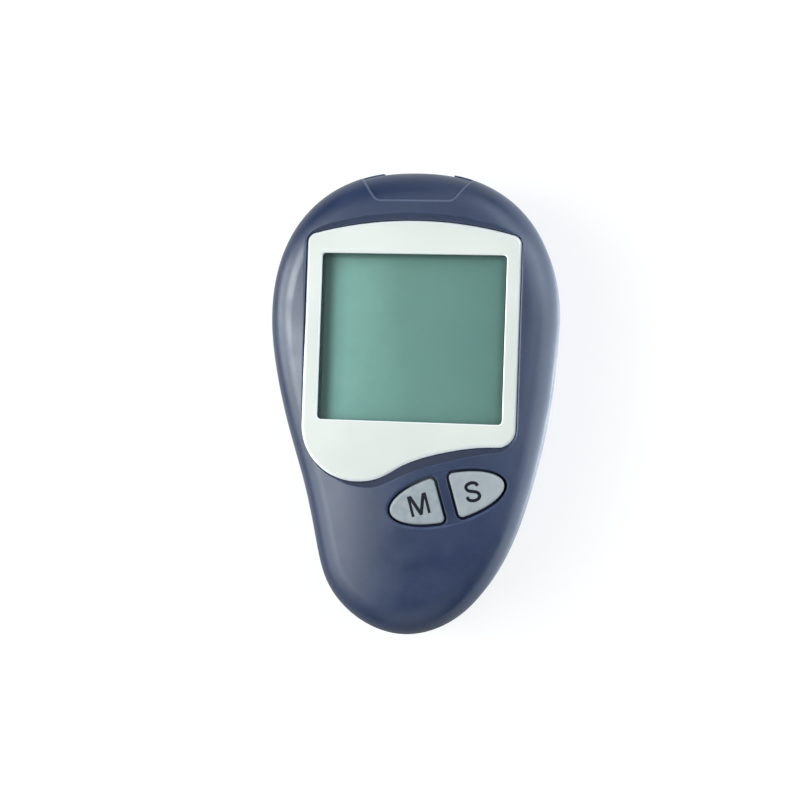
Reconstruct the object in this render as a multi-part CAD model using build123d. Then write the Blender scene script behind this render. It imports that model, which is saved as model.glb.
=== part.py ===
from build123d import *
from math import copysign, cos, radians, sin, sqrt
import os

# Hand-held blood glucose meter, lying on its flat back.
# Frame: millimetres, +Z out of the display, +Y towards the test strip port, +X to the right.
# Origin: centre of the flat rear face.

# ---- housing: driving dimensions ----
BODY_LENGTH = 98.0
BODY_WIDTH = 61.5
SEAM_Z = 11.5                   # parting plane between the two housing halves
WALL = 2.0
REAR_EDGE_RADIUS = 6.5
FRONT_EDGE_RADIUS = 7.0
FILLET_SHARE = 0.92             # largest part of a wall's height that its edge rounding may take
SEAM_CHAMFER = 0.25
LIP_INSET = 1.0                 # from the outside of the wall to the locating lip
LIP_HEIGHT = 1.0
LIP_CLEARANCE = 0.1

# Plan outline: a rounded head (superellipse) that runs into a narrower tail.
HEAD_CENTRE_Y = 17.0
HEAD_ROUNDNESS = 2.31
HEAD_STEP_DEG = 18
INSET_POINTS = 36               # points along an outline that is pulled in
# Rows below the head's centre: (share of the way to the tail's end,
# left and right edge as shares of half the body's width)
FLANK_ROWS = [
    (0.174, 0.952, 0.977),
    (0.356, 0.850, 0.925),
    (0.538, 0.722, 0.837),
    (0.720, 0.625, 0.708),
    (0.841, 0.543, 0.568),
    (0.932, 0.382, 0.394),
]
TAIL_END_X = 0.5                # the tail's end leans to the right of the middle

# Crown of the front face, from head to tail: arcs across the body that are blended
# (row's Y, X of the arc's highest point, arc's radius, fall below the highest row)
CROWN_ROWS = [
    (62.0, 0.0, 300.0, 2.2),
    (38.0, 0.2, 260.0, 0.65),
    (13.0, 1.7, 130.0, 0.1),
    (-10.0, 4.2, 96.0, 0.0),
    (-38.0, 2.5, 70.0, 1.2),
    (-62.0, 1.0, 60.0, 3.6),
]
CROWN_REACH = 42.0              # half the chord of the arcs
CROWN_DEPTH = 60.0              # solid below the highest row
CROWN_ABOVE_BEZEL = 2.15

# ---- size AAA cells and their bay ----
CELL_DIAMETER = 10.5
CELL_LENGTH = 44.5
CELL_NUB_DIAMETER = 3.8
CELL_NUB_HEIGHT = 1.0
CELL_CLEARANCE = 0.3
CELL_EDGE_RADIUS = 0.4
BAY_CENTRE_X = 0.9
BAY_TAIL_MARGIN = 12.7          # from the tail's end to the inside of the bay
BAY_WALL = 1.2
BAY_ROOF = 1.0
CONTACT_THICKNESS = 0.3
CONTACT_WIDTH = 8.0
CONTACT_LEG_WIDTH = 2.0
CONTACT_DIMPLE_HEIGHT = 0.7
CONTACT_DIMPLE_RADIUS = 1.9
SPRING_LENGTH = 4.0
SPRING_RADIUS = 3.2
SPRING_WIRE_RADIUS = 0.3
SPRING_TURNS = 3.5

# ---- battery door ----
DOOR_THICKNESS = 1.5
DOOR_OVERLAP = 1.05             # from the bay's wall to the door's edge
DOOR_HEAD_MARGIN = 2.2          # from the bay to the door's head end
DOOR_TAIL_HEIGHT = 7.0          # the door's tail end rises to here
DOOR_GAP = 0.15
TONGUE_WIDTH = 1.0
TONGUE_THICKNESS = 0.7
TONGUE_GAP = 0.1
CATCH_WIDTH = 10.0
CATCH_LENGTH = 2.5
GRIP_COUNT = 5
GRIP_LENGTH = 11.0
GRIP_WIDTH = 0.9
GRIP_PITCH = 2.0
GRIP_DEPTH = 0.4
GRIP_FROM_HEAD = 6.0

# ---- circuit board ----
BOARD_GAP = 0.3
BOARD_THICKNESS = 1.0
BOARD_CLEARANCE = 0.8           # from the inside of the housing to the board's edge
BOARD_HEAD_MARGIN = 4.0
BOARD_TAIL_MARGIN = 14.0
BOARD_POST_RADIUS = 1.7
BOARD_POST_INSET = 1.9          # from the inside of the housing to the post's axis

# ---- display stack, from the board up ----
DISPLAY_STANDOFF = 1.5
FILM_THICKNESS = 0.2
GLASS_THICKNESS = 0.6
SEAL_THICKNESS = 0.5
SEAL_WIDTH = 1.0
WINDOW_LEDGE = 0.9
LENS_THICKNESS = 1.0
ADHESIVE_THICKNESS = 0.1
BEZEL_THICKNESS = 1.2

GLASS_MARGIN = 1.6              # display glass beyond the window on each side
CONTACT_LEDGE = 2.8             # front glass beyond the rear glass at the tail side
HOLDER_WALL = 1.0
HOLDER_GAP = 0.15
HOLDER_SEAT = 1.5
HOLDER_CORNER = 1.2
CONNECTOR_STRIP_WIDTH = 1.6
CONNECTOR_STRIP_LENGTH = 38.0
LENS_OVERLAP = 1.4
LENS_GAP = 0.15
LEDGE_MARGIN = 0.4              # opening of the ledge beyond the window
ADHESIVE_MARGIN = 0.6

# ---- bezel and window outline ----
BEZEL_LEFT_MARGIN = 8.75        # from the body's widest point
BEZEL_RIGHT_MARGIN = 7.65
BEZEL_TOP_MARGIN = 11.1         # from the head's end to the top of the arc
BEZEL_TOP_RADIUS = 80.0
BEZEL_TOP_CORNER = 2.0
BEZEL_LOBE_RADIUS = 11.8        # big rounding at the lower left
BEZEL_LOBE_DROP = 54.8          # from the top of the arc down to the lobe's lowest point
BEZEL_HEEL_DROP = 46.7          # from the top of the arc down to the lower right edge
BEZEL_HEEL_RADIUS = 3.8
BEZEL_EDGE_CHAMFER = 0.5
SWOOP_BENDS = [(0.65, 0.84), (0.32, 0.42)]      # shares of its run and rise, from the lobe
SWOOP_STEPS = 6                 # spans of the S-curve where it is moved outwards
POCKET_GAP = 0.2
POCKET_SLOPE_DEG = 42.0         # slope of the pocket's wall, from the vertical
WINDOW_LEFT_BORDER = 3.1
WINDOW_RIGHT_BORDER = 2.9
WINDOW_TOP_BORDER = 6.9
WINDOW_HEIGHT = 35.1
WINDOW_CORNER = 0.9
WINDOW_CHAMFER = 0.2

# ---- keys: two halves of one slanted ellipse ----
KEY_CENTRE_X = 9.45
KEY_TAIL_DISTANCE = 29.55       # from the tail's end to the ellipse's centre
KEY_HALF_LENGTH = 12.1
KEY_HALF_WIDTH = 4.75
KEY_TILT_DEG = 16.4
KEY_WEB = 3.15                  # between the two caps, across the shell's web
KEY_CORNER = 0.9
KEY_GAP = 0.6
KEY_PROUD = 0.35
KEY_EDGE_RADIUS = 0.45
KEY_TRAVEL = 0.5
KEY_FLANGE = 1.1
KEY_FLANGE_THICKNESS = 1.1
KEY_FLANGE_GAP = 0.15
KEY_FLANGE_SAG = 1.6            # fall of the crown over the keys
KEY_STEM_RADIUS = 1.5
KEY_STEM_HEIGHT = 0.5
KEY_DISH_MARGIN = 0.9           # shallow dish around both caps
KEY_DISH_DEPTH = 0.3
SWITCH_FROM_CENTRE = 6.0
SWITCH_SIZE = 5.2
PLUNGER_RADIUS = 1.5
PLUNGER_RISE = 1.5
PLUNGER_DEPTH = 0.8
PLUNGER_GAP = 0.06

# ---- test strip port ----
PORT_CENTRE_X = 0.6
PORT_WIDTH = 15.0               # set-back face round the strip's mouth
PORT_REACH = 3.0                # from the seam down to the end of that face
SLOT_WIDTH = 9.0
SLOT_HEIGHT = 1.6
SLOT_LEAD_IN = 0.8
RAMP_WIDTH = 16.1               # at its inner edge
RAMP_LENGTH = 7.0               # from the head's end, measured in plan
RAMP_DEPTH = 0.35
RAMP_FOOT = 5.2                 # from the seam up to its outer end beside the mouth
RAMP_FLARE_DEG = 35.0           # spread of its sides in plan
RAMP_CORNER = 1.8
SOCKET_MARGIN = 7.8             # from the head's end to the socket
SOCKET_WIDTH = 12.0
SOCKET_LENGTH = 9.0
SOCKET_WALL = 0.8
STRIP_CONTACT_COUNT = 4
STRIP_CONTACT_PITCH = 1.6
STRIP_CONTACT_WIDTH = 0.6
STRIP_CONTACT_THICKNESS = 0.2

# ---- fasteners ----
SCREW_RADIUS = 1.0
SCREW_LENGTH = 14.0
SCREW_HEAD_RADIUS = 1.9
SCREW_HEAD_HEIGHT = 1.3
SCREW_CROSS_WIDTH = 0.5
SCREW_CROSS_LENGTH = 2.2
SCREW_CROSS_DEPTH = 0.7
SCREW_RECESS_DEPTH = 2.6
SCREW_CLEARANCE = 0.25
THREAD_CLEARANCE = 0.02
BOSS_WALL = 1.5
HEAD_SCREW_X = 15.0
HEAD_SCREW_MARGIN = 8.6         # from the head's end
TAIL_SCREW_MARGINS = (26.0, 22.0)       # from the tail's end: left and right screw
BOARD_SCREW_RADIUS = 0.8
BOARD_SCREW_LENGTH = 2.6
BOARD_SCREW_HEAD_RADIUS = 1.5
BOARD_SCREW_HEAD_HEIGHT = 0.9

# ---- rear label recess ----
LABEL_WIDTH = 32.0
LABEL_HEIGHT = 15.0
LABEL_DEPTH = 0.25
LABEL_CORNER = 2.0
LABEL_MARGIN = 12.6             # from the head's end

# ---- board components: (x, y, size x, size y, height) ----
PROCESSOR = (-15.0, 26.0, 10.0, 10.0, 1.4)
ANALOG_CHIP = (12.5, 31.0, 5.0, 4.4, 1.2)
MEMORY_CHIP = (-8.0, -16.0, 4.9, 3.9, 1.4)
CRYSTAL = (-3.0, 21.5, 6.5, 2.6, 1.8)
PASSIVE_SIZE = (1.6, 0.8, 0.7)
PASSIVE_PLACES = [
    (-4.0, 31.0), (-4.0, 28.6), (-4.0, 26.2), (4.5, 31.0), (4.5, 28.6), (4.5, 26.2),
    (-22.0, 19.0), (-19.0, 17.6), (20.0, 38.0), (-20.0, 34.5),
]
LEAD_WIDTH = 0.3
LEAD_THICKNESS = 0.15
LEAD_REACH = 0.8
PROCESSOR_LEADS_PER_SIDE = 12
PROCESSOR_LEAD_PITCH = 0.7
SMALL_CHIP_LEADS_PER_SIDE = 4
SMALL_CHIP_LEAD_PITCH = 1.0
BUZZER_RADIUS = 4.5
BUZZER_HEIGHT = 2.2
BUZZER_X = 20.0
BUZZER_Y = 22.0
BUZZER_HOLE_RADIUS = 1.0

# ---- heights, worked out from the rear face up ----
HALF_LENGTH = BODY_LENGTH / 2
HALF_WIDTH = BODY_WIDTH / 2
CELL_Z = DOOR_THICKNESS + CELL_CLEARANCE + CELL_DIAMETER / 2
BAY_CEILING_Z = CELL_Z + CELL_DIAMETER / 2 + CELL_CLEARANCE
BOARD_BOTTOM_Z = BAY_CEILING_Z + BAY_ROOF + BOARD_GAP
BOARD_TOP_Z = BOARD_BOTTOM_Z + BOARD_THICKNESS
REFLECTOR_Z = BOARD_TOP_Z + DISPLAY_STANDOFF
REAR_GLASS_Z = REFLECTOR_Z + FILM_THICKNESS
FRONT_GLASS_Z = REAR_GLASS_Z + GLASS_THICKNESS
POLARISER_Z = FRONT_GLASS_Z + GLASS_THICKNESS
SEAL_Z = POLARISER_Z + FILM_THICKNESS
LEDGE_Z = SEAL_Z + SEAL_THICKNESS
LENS_Z = LEDGE_Z + WINDOW_LEDGE
POCKET_FLOOR_Z = LENS_Z + LENS_THICKNESS
BEZEL_Z = POCKET_FLOOR_Z + ADHESIVE_THICKNESS
RIM_Z = BEZEL_Z + BEZEL_THICKNESS
BODY_HEIGHT = RIM_Z + CROWN_ABOVE_BEZEL
CEILING_CROWN_Z = BODY_HEIGHT - WALL
ABOVE_ALL = BODY_HEIGHT + WALL

KEY_FLANGE_Z = CEILING_CROWN_Z - KEY_FLANGE_GAP - KEY_FLANGE_THICKNESS - KEY_FLANGE_SAG
PLUNGER_TOP_Z = KEY_FLANGE_Z - KEY_STEM_HEIGHT
SWITCH_TOP_Z = PLUNGER_TOP_Z - PLUNGER_RISE
SCREW_TIP_Z = SCREW_RECESS_DEPTH + SCREW_LENGTH

# ---- places in plan, worked out from the body ----
BEZEL_LEFT = -HALF_WIDTH + BEZEL_LEFT_MARGIN
BEZEL_RIGHT = HALF_WIDTH - BEZEL_RIGHT_MARGIN
BEZEL_TOP = HALF_LENGTH - BEZEL_TOP_MARGIN
WINDOW_LEFT = BEZEL_LEFT + WINDOW_LEFT_BORDER
WINDOW_RIGHT = BEZEL_RIGHT - WINDOW_RIGHT_BORDER
WINDOW_TOP = BEZEL_TOP - WINDOW_TOP_BORDER
WINDOW_BOTTOM = WINDOW_TOP - WINDOW_HEIGHT
KEY_CENTRE_Y = -HALF_LENGTH + KEY_TAIL_DISTANCE
BAY_TAIL_Y = -HALF_LENGTH + BAY_TAIL_MARGIN
BAY_LENGTH = CELL_LENGTH + SPRING_LENGTH + CONTACT_DIMPLE_HEIGHT + 2 * CONTACT_THICKNESS
BAY_HEAD_Y = BAY_TAIL_Y + BAY_LENGTH
BAY_HALF_WIDTH = CELL_DIAMETER + 1.5 * CELL_CLEARANCE
CELL_OFFSET = (CELL_DIAMETER + CELL_CLEARANCE) / 2
DOOR_HALF_WIDTH = BAY_HALF_WIDTH + BAY_WALL + DOOR_OVERLAP
DOOR_HEAD_Y = BAY_HEAD_Y + DOOR_HEAD_MARGIN
TONGUE_TOP_Z = DOOR_THICKNESS + TONGUE_GAP
LEDGE_TOP_Z = DOOR_THICKNESS - TONGUE_THICKNESS - TONGUE_GAP
SCREW_RECESS_RADIUS = SCREW_HEAD_RADIUS + SCREW_CLEARANCE
BOSS_RADIUS = SCREW_RADIUS + BOSS_WALL
TAIL_SCREW_X = DOOR_HALF_WIDTH + TONGUE_WIDTH + DOOR_GAP + SCREW_RECESS_RADIUS + SCREW_CLEARANCE
BOARD_POST_X = HALF_WIDTH - WALL - BOARD_POST_INSET
SCREW_PLACES = [
    (-HEAD_SCREW_X, HALF_LENGTH - HEAD_SCREW_MARGIN),
    (HEAD_SCREW_X, HALF_LENGTH - HEAD_SCREW_MARGIN),
    (BAY_CENTRE_X - TAIL_SCREW_X, -HALF_LENGTH + TAIL_SCREW_MARGINS[0]),
    (BAY_CENTRE_X + TAIL_SCREW_X, -HALF_LENGTH + TAIL_SCREW_MARGINS[1]),
]
BOARD_SCREW_PLACES = [(-BOARD_POST_X, HEAD_CENTRE_Y), (BOARD_POST_X, HEAD_CENTRE_Y)]


# ---- small helpers ----
def tangent(angle_deg):
    """Tangent of an angle in degrees."""
    return sin(radians(angle_deg)) / cos(radians(angle_deg))


def block(x_low, x_high, y_low, y_high, z_low, z_high):
    """A box between two corners."""
    centre = ((x_low + x_high) / 2, (y_low + y_high) / 2, (z_low + z_high) / 2)
    return Pos(*centre) * Box(x_high - x_low, y_high - y_low, z_high - z_low)


def upright(radius, x, y, z_low, z_high):
    """A cylinder that stands along Z."""
    return Pos(x, y, (z_low + z_high) / 2) * Cylinder(radius, z_high - z_low)


def slab(face, z_low, z_high):
    """A flat outline raised from one height to another."""
    return Pos(0, 0, z_low) * extrude(face, amount=z_high - z_low, dir=(0, 0, 1))


def rounded_rectangle(x_low, x_high, y_low, y_high, corner):
    """A rectangle in plan between two corners, with rounded corners."""
    centre = Pos((x_low + x_high) / 2, (y_low + y_high) / 2)
    return centre * RectangleRounded(x_high - x_low, y_high - y_low, corner)


# ---- forms that the housing halves share ----
def outline_points():
    """Points of the plan outline: the head by formula, then the flanks and the tail's end."""
    head_rise = HALF_LENGTH - HEAD_CENTRE_Y
    points = []
    for angle in range(0, 181, HEAD_STEP_DEG):
        across = cos(radians(angle))
        along = sin(radians(angle))
        x = copysign(abs(across) ** (2 / HEAD_ROUNDNESS), across) * HALF_WIDTH
        y = HEAD_CENTRE_Y + head_rise * abs(along) ** (2 / HEAD_ROUNDNESS)
        points.append((x, y))
    tail_length = HEAD_CENTRE_Y + HALF_LENGTH
    for drop, left, _ in FLANK_ROWS:
        points.append((-left * HALF_WIDTH, HEAD_CENTRE_Y - drop * tail_length))
    points.append((TAIL_END_X, -HALF_LENGTH))
    for drop, _, right in reversed(FLANK_ROWS):
        points.append((right * HALF_WIDTH, HEAD_CENTRE_Y - drop * tail_length))
    return points


OUTLINE = Spline(*outline_points(), periodic=True).edges()[0]


def beside(curve, distance, share):
    """A point to the left of a curve, and the curve's heading there."""
    place = curve.position_at(share)
    heading = curve.tangent_at(share)
    return (place.X - distance * heading.Y, place.Y + distance * heading.X), heading


def outline(inset):
    """The plan outline as a face, pulled in by a distance."""
    curve = OUTLINE
    if inset:
        points = [beside(OUTLINE, inset, step / INSET_POINTS)[0] for step in range(INSET_POINTS)]
        curve = Spline(*points, periodic=True).edges()[0]
    return Face(Wire([curve]))


def crown(top_z):
    """Everything below the crowned surface whose highest row is at top_z."""
    sections = []
    for y, x, radius, fall in CROWN_ROWS:
        high = top_z - fall
        side = high - radius + sqrt(radius ** 2 - CROWN_REACH ** 2)
        left = (x - CROWN_REACH, y, side)
        right = (x + CROWN_REACH, y, side)
        low = top_z - CROWN_DEPTH
        arc = ThreePointArc(left, (x, y, high), right)
        base = Polyline(right, (right[0], y, low), (left[0], y, low), left)
        sections.append(Face(Wire(arc.edges() + base.edges())))
    return loft(sections)


def front_form(inset, top_z, edge_radius):
    """The crowned front half as one solid, with its shoulder rounded."""
    blank = slab(outline(inset), SEAM_Z, ABOVE_ALL) & crown(top_z)
    shoulder = [edge for edge in blank.edges() if edge.center().Z > SEAM_Z + 1
                and edge.bounding_box().min.Z > SEAM_Z + 1]
    lowest = min(edge.bounding_box().min.Z for edge in shoulder)
    radius = min(edge_radius, FILLET_SHARE * (lowest - SEAM_Z))
    return fillet(shoulder, radius)


def rear_form(inset, bottom_z, edge_radius):
    """The rear half as one solid, with its lower edge rounded."""
    blank = slab(outline(inset), bottom_z, SEAM_Z)
    radius = min(edge_radius, FILLET_SHARE * (SEAM_Z - bottom_z))
    return fillet(blank.edges().group_by(Axis.Z)[0], radius)


def bezel_swoop(grow):
    """S-curve of the bezel's lower edge, from its heel to its lobe, moved outwards by a distance."""
    heel = (BEZEL_RIGHT - BEZEL_HEEL_RADIUS, BEZEL_TOP - BEZEL_HEEL_DROP)
    lobe = (BEZEL_LEFT + BEZEL_LOBE_RADIUS, BEZEL_TOP - BEZEL_LOBE_DROP)
    run = heel[0] - lobe[0]
    rise = heel[1] - lobe[1]
    bends = [(lobe[0] + across * run, lobe[1] + up * rise) for across, up in SWOOP_BENDS]
    flat = [(-1, 0), (-1, 0)]
    curve = Spline(heel, *bends, lobe, tangents=flat).edges()[0]
    if grow == 0:
        return curve
    points = [beside(curve, grow, step / SWOOP_STEPS)[0] for step in range(SWOOP_STEPS + 1)]
    return Spline(*points, tangents=flat).edges()[0]


def bezel_face(grow):
    """Outline of the bezel, grown outwards by a distance."""
    left = BEZEL_LEFT - grow
    right = BEZEL_RIGHT + grow
    middle = (left + right) / 2
    top_radius = BEZEL_TOP_RADIUS + grow
    shoulder_y = BEZEL_TOP + grow - top_radius + sqrt(top_radius ** 2 - (right - middle) ** 2)
    swoop = bezel_swoop(grow)
    heel_end = swoop.position_at(0)
    lobe_start = swoop.position_at(1)
    heel_start = (right, heel_end.Y + BEZEL_HEEL_RADIUS + grow)
    lobe_end = (left, lobe_start.Y + BEZEL_LOBE_RADIUS + grow)
    sides = [
        ThreePointArc((left, shoulder_y), (middle, BEZEL_TOP + grow), (right, shoulder_y)),
        Line((right, shoulder_y), heel_start),
        RadiusArc(heel_start, heel_end, BEZEL_HEEL_RADIUS + grow),
        swoop,
        RadiusArc(lobe_start, lobe_end, BEZEL_LOBE_RADIUS + grow),
        Line(lobe_end, (left, shoulder_y)),
    ]
    face = Face(Wire([side.edges()[0] for side in sides]))
    return fillet(face.vertices().group_by(Axis.Y)[-1], BEZEL_TOP_CORNER + grow).faces()[0]


def window_face(grow):
    """The window's outline, grown outwards by a distance."""
    return rounded_rectangle(
        WINDOW_LEFT - grow, WINDOW_RIGHT + grow, WINDOW_BOTTOM - grow, WINDOW_TOP + grow,
        WINDOW_CORNER + max(grow, 0))


def key_frame():
    """Plane of the keys' ellipse: X along its long axis."""
    return Pos(KEY_CENTRE_X, KEY_CENTRE_Y) * Rot(0, 0, KEY_TILT_DEG)


def key_face(side, grow):
    """One half of the ellipse (side -1 left, +1 right), grown outwards by a distance."""
    ellipse = Ellipse(KEY_HALF_LENGTH + grow, KEY_HALF_WIDTH + grow)
    keep = Pos(side * (KEY_WEB / 2 - grow + KEY_HALF_LENGTH), 0) * Rectangle(
        2 * KEY_HALF_LENGTH, 2 * KEY_HALF_LENGTH)
    half = (ellipse & keep).faces()[0]
    corners = [vertex for vertex in half.vertices() if abs(vertex.Y) > KEY_GAP]
    return key_frame() * fillet(corners, KEY_CORNER + grow).faces()[0]


def ramp_floor():
    """The crowned front half, lowered to the ramp's depth."""
    return front_form(RAMP_DEPTH, BODY_HEIGHT - RAMP_DEPTH, FRONT_EDGE_RADIUS - RAMP_DEPTH)


def mouth_cut():
    """Sets the head's wall back round the strip's mouth, up to the ramp's foot."""
    half = PORT_WIDTH / 2
    room = block(PORT_CENTRE_X - half, PORT_CENTRE_X + half, HALF_LENGTH - WALL, HALF_LENGTH + WALL,
                 SEAM_Z - PORT_REACH, SEAM_Z + RAMP_FOOT)
    return room - slab(outline(RAMP_DEPTH), 0, SEAM_Z) - ramp_floor()


def ramp_cut():
    """Shallow ramp above the strip's mouth: it follows the shoulder and widens towards the head's end."""
    half = RAMP_WIDTH / 2
    reach = RAMP_LENGTH + WALL
    wide = half + reach * tangent(RAMP_FLARE_DEG)
    inner_y = HALF_LENGTH - RAMP_LENGTH
    plan = Polyline((PORT_CENTRE_X - half, inner_y), (PORT_CENTRE_X + half, inner_y),
                    (PORT_CENTRE_X + wide, inner_y + reach), (PORT_CENTRE_X - wide, inner_y + reach), close=True)
    face = Face(Wire(plan.edges()))
    face = fillet(face.vertices().group_by(Axis.Y)[0], RAMP_CORNER).faces()[0]
    return slab(face, SEAM_Z + RAMP_FOOT, ABOVE_ALL) - ramp_floor()


# ---- housing ----
def slot_cut():
    """The strip's way in, with its lead-in at the mouth."""
    x = PORT_CENTRE_X
    half = SLOT_WIDTH / 2
    low = SEAM_Z - SLOT_HEIGHT / 2
    high = SEAM_Z + SLOT_HEIGHT / 2
    lead = SLOT_LEAD_IN + RAMP_DEPTH
    way = block(x - half, x + half, HALF_LENGTH - SOCKET_MARGIN, HALF_LENGTH + WALL, low, high)
    inner = Pos(x, HALF_LENGTH - lead, SEAM_Z) * Rot(-90, 0, 0) * Rectangle(SLOT_WIDTH, SLOT_HEIGHT)
    outer = Pos(x, HALF_LENGTH, SEAM_Z) * Rot(-90, 0, 0) * Rectangle(
        SLOT_WIDTH + 2 * lead, SLOT_HEIGHT + 2 * lead)
    return way + loft([inner.faces()[0], outer.faces()[0]])


def pocket_cuts():
    """Pocket of the bezel with its sloping wall, seat of the lens and opening of the window."""
    slope_height = CROWN_ABOVE_BEZEL + POCKET_GAP
    low = bezel_face(POCKET_GAP)
    high = bezel_face(POCKET_GAP + slope_height * tangent(POCKET_SLOPE_DEG))
    slope = loft([Pos(0, 0, RIM_Z) * low, Pos(0, 0, RIM_Z + slope_height) * high], ruled=True)
    return [
        slope,
        slab(low, POCKET_FLOOR_Z, RIM_Z),
        slab(window_face(LENS_OVERLAP + LENS_GAP), LENS_Z, POCKET_FLOOR_Z),
        slab(window_face(LEDGE_MARGIN), LEDGE_Z, LENS_Z),
    ]


def key_cuts():
    """Shallow dish round the keys and the two holes that the caps come through."""
    dish = Ellipse(KEY_HALF_LENGTH + KEY_DISH_MARGIN, KEY_HALF_WIDTH + KEY_DISH_MARGIN)
    dish = slab(key_frame() * dish.faces()[0], BOARD_TOP_Z, ABOVE_ALL) - crown(BODY_HEIGHT - KEY_DISH_DEPTH)
    holes = [slab(key_face(side, KEY_GAP), BOARD_TOP_Z, ABOVE_ALL) for side in (-1, 1)]
    return [dish] + holes


def lip_form(inset, height):
    """The space inside an inset outline, from the seam up."""
    return slab(outline(inset), SEAM_Z, SEAM_Z + height)


def make_front_shell():
    """Front half: crowned wall, bezel pocket, key holes, strip ramp, bosses and board posts."""
    outside = front_form(0, BODY_HEIGHT, FRONT_EDGE_RADIUS)
    outside = chamfer(outside.edges().group_by(Axis.Z)[0], SEAM_CHAMFER)
    hollow = front_form(WALL, CEILING_CROWN_Z, FRONT_EDGE_RADIUS - WALL)
    rebate = lip_form(LIP_INSET - LIP_CLEARANCE, LIP_HEIGHT + LIP_CLEARANCE)
    hollow += rebate
    kept = [slab(bezel_face(POCKET_GAP + WALL), LEDGE_Z, ABOVE_ALL)]
    kept += [upright(BOSS_RADIUS, x, y, SEAM_Z, ABOVE_ALL) for x, y in SCREW_PLACES]
    kept += [upright(BOARD_POST_RADIUS, x, y, BOARD_TOP_Z, ABOVE_ALL) for x, y in BOARD_SCREW_PLACES]
    hollow -= kept
    bores = [upright(SCREW_RADIUS + THREAD_CLEARANCE, x, y, SEAM_Z - WALL, SCREW_TIP_Z + SCREW_CLEARANCE)
             for x, y in SCREW_PLACES]
    bores += [upright(BOARD_SCREW_RADIUS + THREAD_CLEARANCE, x, y, BOARD_BOTTOM_Z,
                      BOARD_BOTTOM_Z + BOARD_SCREW_LENGTH + SCREW_CLEARANCE) for x, y in BOARD_SCREW_PLACES]
    shell = outside - hollow
    for cuts in (pocket_cuts(), key_cuts(), bores, [ramp_cut()], [mouth_cut(), slot_cut()]):
        shell -= cuts
    return shell


def door_space():
    """Space that the battery door fills, with its clearance, open towards the tail."""
    half = DOOR_HALF_WIDTH + DOOR_GAP
    tongue = half + TONGUE_WIDTH
    below = -WALL
    beyond = -HALF_LENGTH - WALL
    x = BAY_CENTRE_X
    opening = block(x - half, x + half, beyond, DOOR_HEAD_Y + DOOR_GAP, below, TONGUE_TOP_Z)
    groove = block(x - tongue, x + tongue, beyond, DOOR_HEAD_Y + DOOR_GAP, LEDGE_TOP_Z, TONGUE_TOP_Z)
    tail = block(x - half, x + half, beyond, BAY_TAIL_Y - BAY_WALL - DOOR_GAP, below,
                 DOOR_TAIL_HEIGHT + DOOR_GAP)
    catch_half = CATCH_WIDTH / 2 + DOOR_GAP
    catch = block(x - catch_half, x + catch_half, DOOR_HEAD_Y, DOOR_HEAD_Y + CATCH_LENGTH + 2 * DOOR_GAP,
                  LEDGE_TOP_Z, TONGUE_TOP_Z)
    return [opening, groove, tail, catch]


def make_rear_shell():
    """Rear half: floor, walls, battery bay, screw columns, locating lip and label recess."""
    outside = rear_form(0, 0, REAR_EDGE_RADIUS)
    outside = chamfer(outside.edges().group_by(Axis.Z)[-1], SEAM_CHAMFER)
    hollow = rear_form(WALL, WALL, REAR_EDGE_RADIUS - WALL)
    columns = [upright(SCREW_RECESS_RADIUS + BOSS_WALL, x, y, 0, SCREW_RECESS_DEPTH + BOSS_WALL)
               for x, y in SCREW_PLACES]
    columns += [upright(BOSS_RADIUS, x, y, 0, SEAM_Z) for x, y in SCREW_PLACES]
    x = BAY_CENTRE_X
    flange_half = DOOR_HALF_WIDTH + TONGUE_WIDTH + BAY_WALL
    flange = block(x - flange_half, x + flange_half, BAY_TAIL_Y - BAY_WALL,
                   DOOR_HEAD_Y + CATCH_LENGTH + BAY_WALL, 0, TONGUE_TOP_Z + BAY_WALL)
    bay_half = BAY_HALF_WIDTH + BAY_WALL
    bay = block(x - bay_half, x + bay_half, BAY_TAIL_Y - BAY_WALL, BAY_HEAD_Y + BAY_WALL, 0,
                BAY_CEILING_Z + BAY_ROOF)
    shell = outside - (hollow - columns - [flange, bay])
    roof = block(x - bay_half, x + bay_half, BAY_TAIL_Y - BAY_WALL, BAY_HEAD_Y + BAY_WALL, SEAM_Z,
                 BAY_CEILING_Z + BAY_ROOF)
    lip = lip_form(LIP_INSET, LIP_HEIGHT) - lip_form(WALL, LIP_HEIGHT)
    shell += [roof, lip]
    bay_space = block(x - BAY_HALF_WIDTH, x + BAY_HALF_WIDTH, BAY_TAIL_Y, BAY_HEAD_Y, 0, BAY_CEILING_Z)
    legs = [block(leg_x - CONTACT_LEG_WIDTH / 2, leg_x + CONTACT_LEG_WIDTH / 2,
                  BAY_HEAD_Y - CONTACT_THICKNESS, BAY_HEAD_Y, BAY_CEILING_Z, BOARD_BOTTOM_Z)
            for leg_x in (x - CELL_OFFSET, x + CELL_OFFSET)]
    label = slab(rounded_rectangle(-LABEL_WIDTH / 2, LABEL_WIDTH / 2,
                                   HALF_LENGTH - LABEL_MARGIN - LABEL_HEIGHT, HALF_LENGTH - LABEL_MARGIN,
                                   LABEL_CORNER), -WALL, LABEL_DEPTH)
    cuts = [bay_space, label, mouth_cut(), slot_cut()] + legs + door_space()
    for screw_x, screw_y in SCREW_PLACES:
        cuts.append(upright(SCREW_RECESS_RADIUS, screw_x, screw_y, -WALL, SCREW_RECESS_DEPTH))
        cuts.append(upright(SCREW_RADIUS + SCREW_CLEARANCE, screw_x, screw_y, 0, SEAM_Z + WALL))
    return shell - cuts


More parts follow.
